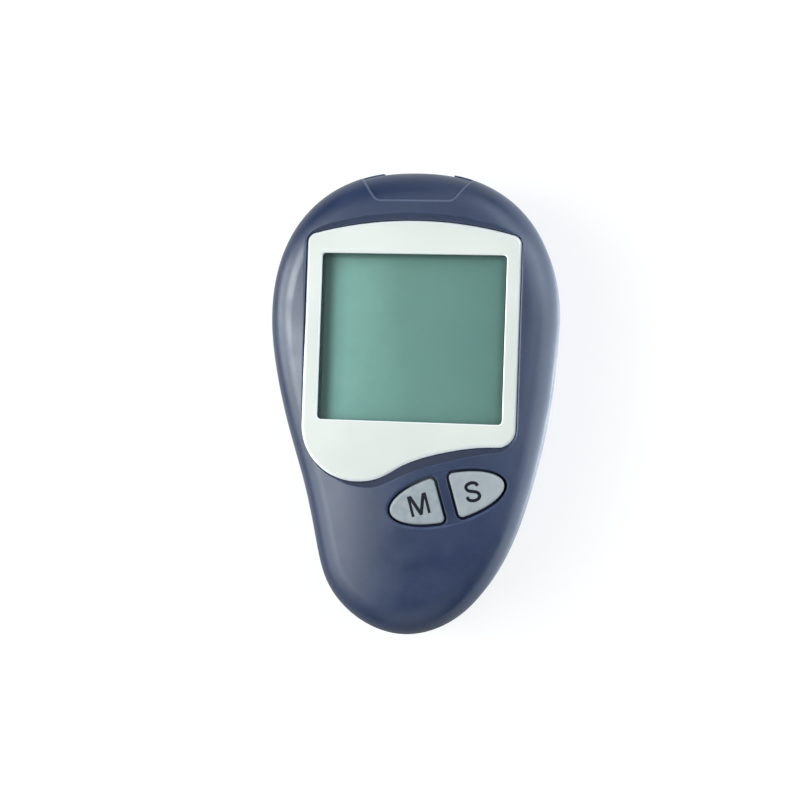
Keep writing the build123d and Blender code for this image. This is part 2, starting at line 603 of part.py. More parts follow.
def make_battery_door():
    """Door with a T-shaped section, a catch at its head end and a raised tail end."""
    half = DOOR_HALF_WIDTH
    x = BAY_CENTRE_X
    beyond = -HALF_LENGTH - WALL
    outside = rear_form(0, 0, REAR_EDGE_RADIUS)
    skin = outside - rear_form(DOOR_THICKNESS, DOOR_THICKNESS, REAR_EDGE_RADIUS - DOOR_THICKNESS)
    tail_y = BAY_TAIL_Y - BAY_WALL - 2 * DOOR_GAP
    body = block(x - half, x + half, tail_y, DOOR_HEAD_Y, 0, DOOR_THICKNESS)
    body += block(x - half, x + half, beyond, tail_y, 0, DOOR_TAIL_HEIGHT)
    tongue = half + TONGUE_WIDTH
    low = DOOR_THICKNESS - TONGUE_THICKNESS
    tongues = block(x - tongue, x + tongue, beyond, DOOR_HEAD_Y, low, DOOR_THICKNESS)
    catch = block(x - CATCH_WIDTH / 2, x + CATCH_WIDTH / 2, DOOR_HEAD_Y - CATCH_LENGTH,
                  DOOR_HEAD_Y + CATCH_LENGTH, low, DOOR_THICKNESS)
    door = (skin & body) + (outside & tongues) + catch
    grooves = []
    for row in range(GRIP_COUNT):
        y = DOOR_HEAD_Y - GRIP_FROM_HEAD - row * GRIP_PITCH
        groove = rounded_rectangle(x - GRIP_LENGTH / 2, x + GRIP_LENGTH / 2, y - GRIP_WIDTH / 2,
                                   y + GRIP_WIDTH / 2, GRIP_WIDTH / 2.1)
        grooves.append(slab(groove, -WALL, GRIP_DEPTH))
    return door - grooves


# ---- battery parts ----
def cell(x, nub_side):
    """One cell along Y; nub_side is +1 where the nub points to the head, -1 to the tail."""
    body_length = CELL_LENGTH - CELL_NUB_HEIGHT
    can = fillet(Cylinder(CELL_DIAMETER / 2, body_length).edges(), CELL_EDGE_RADIUS)
    nub = Pos(0, 0, CELL_LENGTH / 2) * Cylinder(CELL_NUB_DIAMETER / 2, CELL_NUB_HEIGHT)
    nub_tip = CONTACT_THICKNESS + CONTACT_DIMPLE_HEIGHT + CELL_NUB_HEIGHT
    if nub_side > 0:
        centre_y = BAY_HEAD_Y - nub_tip - body_length / 2
    else:
        centre_y = BAY_TAIL_Y + nub_tip + body_length / 2
    return Pos(x, centre_y, CELL_Z) * Rot(-90 * nub_side, 0, 0) * (can + nub)


def contact_plate(x, side, wide):
    """Flat plate against the bay's end wall (side +1 head, -1 tail)."""
    wall_y = BAY_HEAD_Y if side > 0 else BAY_TAIL_Y
    inner_y = wall_y - side * CONTACT_THICKNESS
    half = CONTACT_WIDTH / 2
    return block(x - half - wide, x + half + wide, min(wall_y, inner_y), max(wall_y, inner_y),
                 CELL_Z - half, CELL_Z + half)


def contact_leg(x):
    """Tab from a head-end plate up to the board."""
    return block(x - CONTACT_LEG_WIDTH / 2, x + CONTACT_LEG_WIDTH / 2, BAY_HEAD_Y - CONTACT_THICKNESS,
                 BAY_HEAD_Y, CELL_Z, BOARD_BOTTOM_Z)


def contact_dimple(x, side):
    """Pressed dimple that meets a cell's nub."""
    wall_y = BAY_HEAD_Y if side > 0 else BAY_TAIL_Y
    base_y = wall_y - side * CONTACT_THICKNESS
    dimple = extrude(Circle(CONTACT_DIMPLE_RADIUS), amount=CONTACT_DIMPLE_HEIGHT)
    dimple = fillet(dimple.edges().group_by(Axis.Z)[-1], CONTACT_DIMPLE_HEIGHT / 2)
    return Pos(x, base_y, CELL_Z) * Rot(90 * side, 0, 0) * dimple


def contact_spring(x, side):
    """Coil from a plate to a cell's flat end."""
    wall_y = BAY_HEAD_Y if side > 0 else BAY_TAIL_Y
    base_y = wall_y - side * CONTACT_THICKNESS
    rise = SPRING_LENGTH - 2 * SPRING_WIRE_RADIUS
    path = Helix(rise / SPRING_TURNS, rise, SPRING_RADIUS)
    section = Plane(path @ 0, z_dir=path % 0) * Circle(SPRING_WIRE_RADIUS)
    coil = sweep(section, path=path, is_frenet=True)
    coil = Pos(0, 0, SPRING_WIRE_RADIUS) * coil
    return Pos(x, base_y, CELL_Z) * Rot(90 * side, 0, 0) * coil


def make_battery_bridge():
    """Tail-end plate across both cells, with a dimple and a spring."""
    left = BAY_CENTRE_X - CELL_OFFSET
    right = BAY_CENTRE_X + CELL_OFFSET
    plate = contact_plate(BAY_CENTRE_X, -1, CELL_OFFSET)
    return [plate + contact_dimple(left, -1), contact_spring(right, -1)]


# ---- board and display ----
def make_main_board():
    """Board that follows the housing, straight at both ends, with holes for the bosses."""
    board = slab(outline(WALL + BOARD_CLEARANCE), BOARD_BOTTOM_Z, BOARD_TOP_Z)
    tail_y = -HALF_LENGTH + BOARD_TAIL_MARGIN
    head_y = HALF_LENGTH - BOARD_HEAD_MARGIN
    board &= block(-HALF_WIDTH, HALF_WIDTH, tail_y, head_y, BOARD_BOTTOM_Z, BOARD_TOP_Z)
    holes = [upright(BOSS_RADIUS + SCREW_CLEARANCE, x, y, BOARD_BOTTOM_Z, BOARD_TOP_Z) for x, y in SCREW_PLACES]
    holes += [upright(BOARD_SCREW_RADIUS + SCREW_CLEARANCE, x, y, BOARD_BOTTOM_Z, BOARD_TOP_Z)
              for x, y in BOARD_SCREW_PLACES]
    return board - holes


def display_plate(tail_reach, z_low, z_high):
    """A layer of the display, with its reach beyond the window at the tail side."""
    return block(WINDOW_LEFT - GLASS_MARGIN, WINDOW_RIGHT + GLASS_MARGIN,
                 WINDOW_BOTTOM - GLASS_MARGIN - tail_reach, WINDOW_TOP + GLASS_MARGIN, z_low, z_high)


def make_lcd_holder():
    """Frame on the board that the display glass lies in."""
    reach = GLASS_MARGIN + HOLDER_GAP + HOLDER_WALL
    frame = block(WINDOW_LEFT - reach, WINDOW_RIGHT + reach, WINDOW_BOTTOM - reach - CONTACT_LEDGE,
                  WINDOW_TOP + reach, BOARD_TOP_Z, FRONT_GLASS_Z + GLASS_THICKNESS)
    frame = fillet(frame.edges().filter_by(Axis.Z), HOLDER_CORNER)
    well = reach - HOLDER_WALL
    frame -= block(WINDOW_LEFT - well, WINDOW_RIGHT + well, WINDOW_BOTTOM - well - CONTACT_LEDGE,
                   WINDOW_TOP + well, REFLECTOR_Z, ABOVE_ALL)
    seat = GLASS_MARGIN - HOLDER_SEAT
    frame -= block(WINDOW_LEFT - seat, WINDOW_RIGHT + seat, WINDOW_BOTTOM - seat, WINDOW_TOP + seat,
                   BOARD_TOP_Z, REFLECTOR_Z)
    strip = connector_strip_space(HOLDER_GAP)
    return frame - strip


def connector_strip_space(gap):
    """Place of the elastomeric strip under the front glass's contact ledge."""
    centre_x = (WINDOW_LEFT + WINDOW_RIGHT) / 2
    centre_y = WINDOW_BOTTOM - GLASS_MARGIN - CONTACT_LEDGE / 2 - HOLDER_GAP
    half_length = CONNECTOR_STRIP_LENGTH / 2 + gap
    half_width = CONNECTOR_STRIP_WIDTH / 2 + gap
    return block(centre_x - half_length, centre_x + half_length, centre_y - half_width, centre_y + half_width,
                 BOARD_TOP_Z, FRONT_GLASS_Z)


def make_display_dust_seal():
    """Foam frame between the display and the window ledge."""
    outer = window_face(LEDGE_MARGIN + SEAL_WIDTH)
    return slab(outer, SEAL_Z, LEDGE_Z) - slab(window_face(LEDGE_MARGIN), SEAL_Z, LEDGE_Z)


def make_display_bezel():
    """Plate with the window in it, its outer and window edges bevelled."""
    plate = slab(bezel_face(0), BEZEL_Z, RIM_Z)
    plate = chamfer(plate.edges().group_by(Axis.Z)[-1], BEZEL_EDGE_CHAMFER)
    opening = slab(window_face(0), BEZEL_Z, RIM_Z)
    low = window_face(0)
    high = window_face(WINDOW_CHAMFER)
    bevel = loft([Pos(0, 0, RIM_Z - WINDOW_CHAMFER) * low.faces()[0], Pos(0, 0, RIM_Z) * high.faces()[0]],
                 ruled=True)
    return plate - [opening, bevel]


def make_bezel_adhesive():
    """Thin film between the bezel and the pocket's floor."""
    film = slab(bezel_face(-ADHESIVE_MARGIN), POCKET_FLOOR_Z, BEZEL_Z)
    return film - slab(window_face(LENS_OVERLAP + LENS_GAP), POCKET_FLOOR_Z, BEZEL_Z)


# ---- keys and switches ----
def switch_place(side):
    """Axis of the switch under one key."""
    return key_frame() * Pos(side * SWITCH_FROM_CENTRE, 0)


def make_key(side):
    """Key cap with its flange under the shell and its stem on the switch."""
    cap = slab(key_face(side, 0), KEY_FLANGE_Z + KEY_FLANGE_GAP, ABOVE_ALL) & crown(BODY_HEIGHT + KEY_PROUD)
    top = [edge for edge in cap.edges() if edge.bounding_box().min.Z > KEY_FLANGE_Z + KEY_FLANGE_THICKNESS]
    cap = fillet(top, KEY_EDGE_RADIUS)
    room = front_form(WALL + KEY_FLANGE_GAP, CEILING_CROWN_Z - KEY_FLANGE_GAP, FRONT_EDGE_RADIUS - WALL)
    flange = slab(key_face(side, KEY_FLANGE), KEY_FLANGE_Z, ABOVE_ALL) & room
    stem = switch_place(side) * upright(KEY_STEM_RADIUS, 0, 0, PLUNGER_TOP_Z, KEY_FLANGE_Z)
    return cap + flange + stem


def make_key_switch(side):
    """Switch body on the board, with the well that its plunger moves in."""
    half = SWITCH_SIZE / 2
    body = block(-half, half, -half, half, BOARD_TOP_Z, SWITCH_TOP_Z)
    body = chamfer(body.edges().filter_by(Axis.Z), SCREW_CLEARANCE)
    well = upright(PLUNGER_RADIUS + PLUNGER_GAP, 0, 0, SWITCH_TOP_Z - PLUNGER_DEPTH - KEY_TRAVEL - PLUNGER_GAP,
                   SWITCH_TOP_Z)
    return switch_place(side) * (body - well)


def make_key_plunger(side):
    """Plunger between the key's stem and the switch's well."""
    return switch_place(side) * upright(PLUNGER_RADIUS, 0, 0, SWITCH_TOP_Z - PLUNGER_DEPTH, PLUNGER_TOP_Z)


# ---- board components ----
def chip(place, z_top, leads_per_side, pitch, all_round):
    """A chip under or on the board with gull leads; the body hangs from z_top."""
    x, y, size_x, size_y, height = place
    gap = LEAD_THICKNESS
    solids = [block(x - size_x / 2, x + size_x / 2, y - size_y / 2, y + size_y / 2,
                    z_top - gap - height, z_top - gap)]
    for index in range(leads_per_side):
        shift = (index - (leads_per_side - 1) / 2) * pitch
        for side in (-1, 1):
            solids.append(lead(x + side * size_x / 2, y + shift, side, 0, z_top))
            if all_round:
                solids.append(lead(x + shift, y + side * size_y / 2, 0, side, z_top))
    return solids


def lead(x, y, side_x, side_y, z_top):
    """One flat lead from a chip's edge outwards, face to face with the board."""
    half = LEAD_WIDTH / 2
    x_low = x - half if side_x == 0 else min(x, x + side_x * LEAD_REACH)
    x_high = x + half if side_x == 0 else max(x, x + side_x * LEAD_REACH)
    y_low = y - half if side_y == 0 else min(y, y + side_y * LEAD_REACH)
    y_high = y + half if side_y == 0 else max(y, y + side_y * LEAD_REACH)
    return block(x_low, x_high, y_low, y_high, z_top - LEAD_THICKNESS, z_top)


def upside_up(solids, z_plane):
    """Mirror solids through a level plane, for a part on the board's upper side."""
    return [mirror(solid, about=Plane.XY.offset(z_plane)) for solid in solids]


def make_board_passives():
    """Small capacitors and resistors under the board."""
    size_x, size_y, height = PASSIVE_SIZE
    return [block(x - size_x / 2, x + size_x / 2, y - size_y / 2, y + size_y / 2,
                  BOARD_BOTTOM_Z - height, BOARD_BOTTOM_Z) for x, y in PASSIVE_PLACES]


def make_clock_crystal():
    """Metal can under the board."""
    x, y, size_x, size_y, height = CRYSTAL
    can = rounded_rectangle(x - size_x / 2, x + size_x / 2, y - size_y / 2, y + size_y / 2, size_y / 2.1)
    return slab(can, BOARD_BOTTOM_Z - height, BOARD_BOTTOM_Z)


def make_buzzer():
    """Round sounder under the board, with its sound hole."""
    case = upright(BUZZER_RADIUS, BUZZER_X, BUZZER_Y, BOARD_BOTTOM_Z - BUZZER_HEIGHT, BOARD_BOTTOM_Z)
    case = fillet(case.edges().group_by(Axis.Z)[0], CELL_EDGE_RADIUS)
    hole = upright(BUZZER_HOLE_RADIUS, BUZZER_X, BUZZER_Y, BOARD_BOTTOM_Z - BUZZER_HEIGHT,
                   BOARD_BOTTOM_Z - BUZZER_HEIGHT / 2)
    return case - hole


def socket_bounds():
    """Head end, tail end and lower face of the strip socket."""
    head_y = HALF_LENGTH - SOCKET_MARGIN
    return head_y, head_y - SOCKET_LENGTH, 2 * SEAM_Z - BOARD_BOTTOM_Z


def make_strip_connector():
    """Socket under the board, open towards the strip slot."""
    head_y, tail_y, low_z = socket_bounds()
    x = PORT_CENTRE_X
    half = SOCKET_WIDTH / 2
    body = block(x - half, x + half, tail_y, head_y, low_z, BOARD_BOTTOM_Z)
    space = block(x - SLOT_WIDTH / 2, x + SLOT_WIDTH / 2, tail_y + SOCKET_WALL, head_y,
                  low_z + SOCKET_WALL, BOARD_BOTTOM_Z - SOCKET_WALL)
    return body - space


def make_strip_contacts():
    """Bent leaf springs on the socket's ceiling that press on the strip."""
    head_y, tail_y, _ = socket_bounds()
    ceiling = BOARD_BOTTOM_Z - SOCKET_WALL
    thick = STRIP_CONTACT_THICKNESS
    start_y = tail_y + SOCKET_WALL
    bend_y = start_y + (head_y - start_y) / 2
    end_y = head_y - SOCKET_WALL
    side = Polyline((start_y, ceiling), (start_y, ceiling - thick), (bend_y, SEAM_Z), (end_y, ceiling - 2 * thick),
                    (end_y, ceiling - thick), (bend_y, SEAM_Z + thick), (start_y + thick, ceiling), close=True)
    leaf = extrude(Plane.YZ * Face(Wire(side.edges())), amount=STRIP_CONTACT_WIDTH)
    first = PORT_CENTRE_X - ((STRIP_CONTACT_COUNT - 1) * STRIP_CONTACT_PITCH + STRIP_CONTACT_WIDTH) / 2
    return [Pos(first + index * STRIP_CONTACT_PITCH, 0, 0) * leaf for index in range(STRIP_CONTACT_COUNT)]


# ---- fasteners ----
def screw(x, y, head_z, radius, length, head_radius, head_height):
    """Pan-head screw pointing up, its head's upper face at head_z."""
    head = upright(head_radius, x, y, head_z - head_height, head_z)
    head = fillet(head.edges().group_by(Axis.Z)[0], head_height / 2)
    shank = upright(radius, x, y, head_z, head_z + length)
    shank = chamfer(shank.edges().group_by(Axis.Z)[-1], radius / 2)
    size = SCREW_CROSS_LENGTH * head_radius / SCREW_HEAD_RADIUS / 2
    slit = SCREW_CROSS_WIDTH / 2
    low = head_z - head_height
    depth = SCREW_CROSS_DEPTH * head_height / SCREW_HEAD_HEIGHT
    cross = [block(x - size, x + size, y - slit, y + slit, low, low + depth),
             block(x - slit, x + slit, y - size, y + size, low, low + depth)]
    return (head + shank) - cross


def make_housing_screws():
    return [screw(x, y, SCREW_RECESS_DEPTH, SCREW_RADIUS, SCREW_LENGTH, SCREW_HEAD_RADIUS, SCREW_HEAD_HEIGHT)
            for x, y in SCREW_PLACES]


def make_board_screws():
    return [screw(x, y, BOARD_BOTTOM_Z, BOARD_SCREW_RADIUS, BOARD_SCREW_LENGTH, BOARD_SCREW_HEAD_RADIUS,
                  BOARD_SCREW_HEAD_HEIGHT) for x, y in BOARD_SCREW_PLACES]


# ---- the parts, one file each ----
CELL_LEFT_X = BAY_CENTRE_X - CELL_OFFSET
CELL_RIGHT_X = BAY_CENTRE_X + CELL_OFFSET

PARTS = {
    "front_shell": make_front_shell(),
    "rear_shell": make_rear_shell(),
    "battery_door": make_battery_door(),
    "display_bezel": make_display_bezel(),
    "bezel_adhesive": make_bezel_adhesive(),
    "display_lens": slab(window_face(LENS_OVERLAP), LENS_Z, POCKET_FLOOR_Z),
    "display_dust_seal": make_display_dust_seal(),
    "lcd_front_polariser": display_plate(0, POLARISER_Z, SEAL_Z),
    "lcd_front_glass": display_plate(CONTACT_LEDGE, FRONT_GLASS_Z, POLARISER_Z),
    "lcd_rear_glass": display_plate(0, REAR_GLASS_Z, FRONT_GLASS_Z),
    "lcd_rear_reflector": display_plate(0, REFLECTOR_Z, REAR_GLASS_Z),
    "lcd_holder": make_lcd_holder(),
    "lcd_connector_strip": connector_strip_space(0),
    "main_board": make_main_board(),
    "processor_chip": chip(PROCESSOR, BOARD_BOTTOM_Z, PROCESSOR_LEADS_PER_SIDE, PROCESSOR_LEAD_PITCH, True),
    "analog_chip": chip(ANALOG_CHIP, BOARD_BOTTOM_Z, SMALL_CHIP_LEADS_PER_SIDE, SMALL_CHIP_LEAD_PITCH, False),
    "memory_chip": upside_up(
        chip(MEMORY_CHIP, BOARD_TOP_Z, SMALL_CHIP_LEADS_PER_SIDE, SMALL_CHIP_LEAD_PITCH, False), BOARD_TOP_Z),
    "clock_crystal": make_clock_crystal(),
    "board_passives": make_board_passives(),
    "buzzer": make_buzzer(),
    "strip_connector": make_strip_connector(),
    "strip_contacts": make_strip_contacts(),
    "button_m": make_key(-1),
    "button_s": make_key(1),
    "key_plunger_m": make_key_plunger(-1),
    "key_plunger_s": make_key_plunger(1),
    "key_switch_m": make_key_switch(-1),
    "key_switch_s": make_key_switch(1),
    "battery_cell_left": cell(CELL_LEFT_X, -1),
    "battery_cell_right": cell(CELL_RIGHT_X, 1),
    "battery_plate_negative": contact_plate(CELL_LEFT_X, 1, 0) + contact_leg(CELL_LEFT_X),
    "battery_spring_negative": contact_spring(CELL_LEFT_X, 1),
    "battery_plate_positive": contact_plate(CELL_RIGHT_X, 1, 0) + contact_leg(CELL_RIGHT_X)
    + contact_dimple(CELL_RIGHT_X, 1),
    "battery_bridge": make_battery_bridge()[0],
    "battery_bridge_spring": make_battery_bridge()[1],
    "housing_screws": make_housing_screws(),
    "board_screws": make_board_screws(),
}

os.makedirs("parts", exist_ok=True)
for name, shape in PARTS.items():
    if isinstance(shape, list):
        shape = Compound(children=shape)
    export_step(shape, f"parts/{name}.step")
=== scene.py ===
import math

import bmesh
import bpy
from mathutils import Matrix, Vector
from mathutils.bvhtree import BVHTree


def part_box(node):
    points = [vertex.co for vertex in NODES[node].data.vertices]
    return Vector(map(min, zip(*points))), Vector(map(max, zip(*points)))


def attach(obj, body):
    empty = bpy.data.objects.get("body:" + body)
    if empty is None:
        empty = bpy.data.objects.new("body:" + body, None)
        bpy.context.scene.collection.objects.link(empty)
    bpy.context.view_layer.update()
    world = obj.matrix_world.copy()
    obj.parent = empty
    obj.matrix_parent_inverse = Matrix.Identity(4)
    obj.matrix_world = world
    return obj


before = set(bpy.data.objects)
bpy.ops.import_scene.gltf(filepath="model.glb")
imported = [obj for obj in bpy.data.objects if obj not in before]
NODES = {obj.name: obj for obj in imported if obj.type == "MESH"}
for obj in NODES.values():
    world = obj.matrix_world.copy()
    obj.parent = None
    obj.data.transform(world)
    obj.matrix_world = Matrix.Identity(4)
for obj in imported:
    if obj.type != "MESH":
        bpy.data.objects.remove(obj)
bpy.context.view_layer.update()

MM = 0.001
WHITE = (1, 1, 1)
MOST_OF_NOISE = (0.3, 0.7)              # the values that a noise mostly takes
BEVEL_SAMPLES = 6
EDGE_LIKENESS = (0.90, 0.995)           # of the rounded normal to the surface's own: on an edge, and off it


# ---- node helpers ----
class Shading:
    """A node tree with short ways to add to it."""

    def __init__(self, tree, place):
        self.tree = tree
        self.place = self.new("ShaderNodeTexCoord").outputs[place]

    def new(self, kind, **settings):
        node = self.tree.nodes.new(kind)
        for key, value in settings.items():
            setattr(node, key, value)
        return node

    def link(self, source, target):
        self.tree.links.new(source, target)

    def feed(self, node, index, value):
        """Sets an input, or links it when the value is a socket."""
        if isinstance(value, bpy.types.NodeSocket):
            self.link(value, node.inputs[index])
        else:
            node.inputs[index].default_value = value

    def maths(self, operation, first, second=0.0, clamp=False):
        node = self.new("ShaderNodeMath", operation=operation, use_clamp=clamp)
        self.feed(node, 0, first)
        self.feed(node, 1, second)
        return node.outputs[0]

    def vector(self, operation, first, second=(0, 0, 0)):
        """A sum of vectors, whose result is a number where the operation gives one."""
        node = self.new("ShaderNodeVectorMath", operation=operation)
        self.feed(node, 0, first)
        self.feed(node, 1, second)
        gives_number = operation in ("DOT_PRODUCT", "DISTANCE", "LENGTH")
        return node.outputs["Value" if gives_number else "Vector"]

    def between(self, value, low, high, to_low=0.0, to_high=1.0):
        """A value's range carried over to another one, with soft ends."""
        node = self.new("ShaderNodeMapRange", interpolation_type="SMOOTHSTEP")
        for index, item in enumerate((value, low, high, to_low, to_high)):
            self.feed(node, index, item)
        return node.outputs[0]

    def mix(self, share, first, second):
        """A blend of two colours."""
        node = self.new("ShaderNodeMix", data_type="RGBA")
        self.feed(node, "Factor", share)
        for index, colour in ((6, first), (7, second)):
            if isinstance(colour, bpy.types.NodeSocket):
                self.link(colour, node.inputs[index])
            else:
                node.inputs[index].default_value = (*colour, 1)
        return node.outputs[2]

    def axis(self, letter, vector=None):
        """One coordinate of a vector, or of the place that is shaded."""
        split = self.new("ShaderNodeSeparateXYZ")
        self.link(self.place if vector is None else vector, split.inputs[0])
        return split.outputs[letter]

    def rays(self, *kinds):
        """1 for the named kinds of ray, 0 for the others."""
        path = self.new("ShaderNodeLightPath")
        share = path.outputs[kinds[0]]
        for kind in kinds[1:]:
            share = self.maths("MAXIMUM", share, path.outputs[kind])
        return share


class Look(Shading):
    """A material under construction: one Principled shader and the nodes that feed it.

    Its sizes, widths and depths are given in mm.
    """

    def __init__(self, name):
        self.material = bpy.data.materials.new(name)
        self.material.use_nodes = True
        super().__init__(self.material.node_tree, "Object")
        self.shader = self.tree.nodes["Principled BSDF"]

    def set(self, name, value):
        self.feed(self.shader, name, value)

    def source(self, name):
        """The socket that feeds an input of the shader."""
        return self.shader.inputs[name].links[0].from_socket

    def noise(self, size, detail=3.0, roughness=0.5, stretch=(1, 1, 1)):
        """Noise whose blobs are about that size."""
        mapping = self.new("ShaderNodeMapping")
        self.link(self.place, mapping.inputs["Vector"])
        mapping.inputs["Scale"].default_value = stretch
        node = self.new("ShaderNodeTexNoise")
        self.link(mapping.outputs[0], node.inputs["Vector"])
        node.inputs["Scale"].default_value = 1 / (size * MM)
        node.inputs["Detail"].default_value = detail
        node.inputs["Roughness"].default_value = roughness
        return node.outputs[0]

    def cells(self, size):
        """Distance to points scattered about that size apart, as a share of it."""
        node = self.new("ShaderNodeTexVoronoi")
        self.link(self.place, node.inputs["Vector"])
        node.inputs["Scale"].default_value = 1 / (size * MM)
        return node.outputs["Distance"]

    def facing_up(self):
        """1 where the surface is level, 0 where it is upright."""
        return self.axis("Z", self.new("ShaderNodeTexCoord").outputs["Normal"])

    def lines(self, points, core, reach):
        """1 within core of a line through points, seen in plan, and 0 beyond reach."""
        flat = self.vector("MULTIPLY", self.place, (1, 1, 0))
        nearest = None
        for start, end in zip(points, points[1:]):
            span = (end - start) * MM
            away = self.vector("SUBTRACT", flat, (*(start * MM), 0))
            along = self.vector("DOT_PRODUCT", away, (*(span / span.length_squared), 0))
            share = self.maths("ADD", along, 0.0, clamp=True)
            distance = self.vector("DISTANCE", away, self.vector("MULTIPLY", share, (*span, 0)))
            nearest = distance if nearest is None else self.maths("MINIMUM", nearest, distance)
        return self.between(nearest, core * MM, reach * MM, 1.0, 0.0)

    def edges(self, radius):
        """The rounded normal near sharp edges, and a mask that is 1 on them."""
        bevel = self.new("ShaderNodeBevel", samples=BEVEL_SAMPLES)
        bevel.inputs["Radius"].default_value = radius * MM
        rounded = bevel.outputs[0]
        surface = self.new("ShaderNodeNewGeometry").outputs["Normal"]
        likeness = self.vector("DOT_PRODUCT", rounded, surface)
        return rounded, self.between(likeness, *EDGE_LIKENESS, 1.0, 0.0)

    def bump(self, height, distance, strength=1.0, normal=None):
        node = self.new("ShaderNodeBump")
        node.inputs["Strength"].default_value = strength
        node.inputs["Distance"].default_value = distance * MM
        self.link(height, node.inputs["Height"])
        if normal is not None:
            self.link(normal, node.inputs["Normal"])
        self.set("Normal", node.outputs[0])


def srgb(red, green, blue):
    """A colour given as 0-255 display values, as linear light."""
    def linear(value):
        share = value / 255
        return share / 12.92 if share <= 0.04045 else ((share + 0.055) / 1.055) ** 2.4
    return linear(red), linear(green), linear(blue)


# ---- families of material ----
def plastic(name, colour, paler, roughness, grain=0.18, depth=0.012, edge=0.25, rub_and_highlight_colour=None, rub_and_highlight_share=0.5,
            gloss=0.5):
    """Moulded plastic: soft drifts of colour, a fine spark-eroded grain and paler edges, rubbed on most
    parts and a painted highlight on the shell.
    """
    look = Look(name)
    drift = look.noise(12, detail=4)
    speck = look.noise(0.6, detail=2)
    tone = look.maths("ADD", look.maths("MULTIPLY", drift, 0.7), look.maths("MULTIPLY", speck, 0.3))
    base = look.mix(look.between(tone, 0.35, 0.65), colour, paler)
    normal, mask = look.edges(edge)
    # paler edges: rubbed on most parts, and on the shell a painted highlight where the edges catch the light
    rub_and_highlight = look.maths("MULTIPLY", mask, look.between(look.noise(4), 0.3, 0.6, 0.4, 1.0))
    look.set("Base Color", look.mix(look.maths("MULTIPLY", rub_and_highlight, rub_and_highlight_share), base, rub_and_highlight_colour or paler))
    sheen = look.noise(6, detail=4)
    look.set("Roughness", look.between(sheen, *MOST_OF_NOISE, roughness - 0.04, roughness + 0.05))
    look.set("Specular IOR Level", gloss)
    look.bump(look.noise(grain, detail=2), depth, normal=normal)
    return look


def metal(name, colour, darker, roughness, brush=(1, 1, 1), metallic=1.0):
    """Plated metal with fine directional scratches and duller patches."""
    look = Look(name)
    patches = look.noise(2, detail=4)
    look.set("Base Color", look.mix(look.between(patches, 0.35, 0.7), colour, darker))
    look.set("Metallic", metallic)
    scratches = look.noise(0.2, detail=3, stretch=brush)
    look.set("Roughness", look.between(scratches, *MOST_OF_NOISE, roughness, roughness + 0.15))
    normal, _ = look.edges(0.12)
    look.bump(scratches, 0.006, normal=normal)
    return look


# ---- the shell's plastic; sizes and places in mm ----
RAMP_CENTRE = 0.6                       # X of the middle of the strip's ramp
RAMP_HALF_WIDTH = 8.15                  # at its inner edge
RAMP_INNER_Y = 41.9
RAMP_SIDE = 8.4                         # length of each side's painted highlight along the rim
RAMP_FLARE = math.radians(35)
RAMP_CORNER_REACH = 0.95                # from a corner's point to the ends of its rounding
RAMP_CORNER_CUT = 0.23                  # from a corner's point to the middle of its rounding
RIM_HIGHLIGHT_WIDTH = (0.1, 0.32)                 # half width of the painted highlight, and where it has faded
RIM_HIGHLIGHT_HEIGHTS = (16.6, 18.6)              # the painted highlight fades in between these heights
RIM_HIGHLIGHT_STRENGTH = 0.4
POCKET_WALL = [                         # the pocket's sloped wall along the bezel's S-shaped lower edge
    (-10.5, -17.5), (-6.7, -17.05), (-3.6, -15.7), (-0.5, -14.3), (3.7, -12.8), (7.8, -11.6),
    (11.9, -10.75), (16.0, -9.9), (20.1, -9.2)]
WALL_WIDTH = (1.6, 2.6)                 # half width of the band of painted shade and added roughness, and where it has faded
WALL_STEEPER = (0.76, 0.88)             # facing_up() is below these on the wall's slope
WALL_FLATTER = (0.45, 0.55)             # and above these
WALL_SHADE_STRENGTH = 0.9
WALL_DULLNESS = 0.5                     # roughness that the band adds


def ramp_rim():
    """The upper rim of the strip's ramp in plan."""
    def corner(side):
        foot = Vector((RAMP_CENTRE + side * RAMP_HALF_WIDTH, RAMP_INNER_Y))
        out = Vector((side * math.sin(RAMP_FLARE), math.cos(RAMP_FLARE)))
        inwards = Vector((-side, 0))
        middle = foot + (out + inwards).normalized() * RAMP_CORNER_CUT
        rounding = (foot + out * RAMP_CORNER_REACH, middle, foot + inwards * RAMP_CORNER_REACH)
        return foot + out * RAMP_SIDE, *rounding
    left, right = corner(-1), corner(1)
    return [*left, *reversed(right)]


def shell_look():
    """Navy plastic with a painted highlight along the ramp's upper edges and painted shade on the pocket's
    lower wall, which is also rougher.
    """
    # the paler rounded edges here are a painted highlight
    look = plastic("navy_shell", srgb(34, 48, 79), srgb(40, 54, 87), 0.34, grain=0.4, depth=0.008,
                   edge=0.4, rub_and_highlight_colour=srgb(92, 112, 152), rub_and_highlight_share=0.6, gloss=0.85)
    # painted highlight along the ramp's upper edges, as where they catch the light
    low, high = (height * MM for height in RIM_HIGHLIGHT_HEIGHTS)
    on_front = look.between(look.axis("Z"), low, high, 0.0, RIM_HIGHLIGHT_STRENGTH)
    rim = look.maths("MULTIPLY", look.lines(ramp_rim(), *RIM_HIGHLIGHT_WIDTH), on_front)
    base = look.mix(rim, look.source("Base Color"), srgb(118, 128, 154))
    # painted shade: the pocket's lower slope is darkened as if in shade, and is also rougher
    level = look.facing_up()
    steep = look.between(level, *WALL_STEEPER, 1.0, 0.0)
    slope = look.maths("MULTIPLY", steep, look.between(level, *WALL_FLATTER))
    near = look.lines([Vector(point) for point in POCKET_WALL], *WALL_WIDTH)
    wall = look.maths("MULTIPLY", slope, near)
    look.set("Base Color", look.mix(look.maths("MULTIPLY", wall, WALL_SHADE_STRENGTH), base, srgb(18, 29, 58)))
    dullness = look.maths("MULTIPLY", wall, WALL_DULLNESS)
    look.set("Roughness", look.maths("ADD", look.source("Roughness"), dullness))
    return look


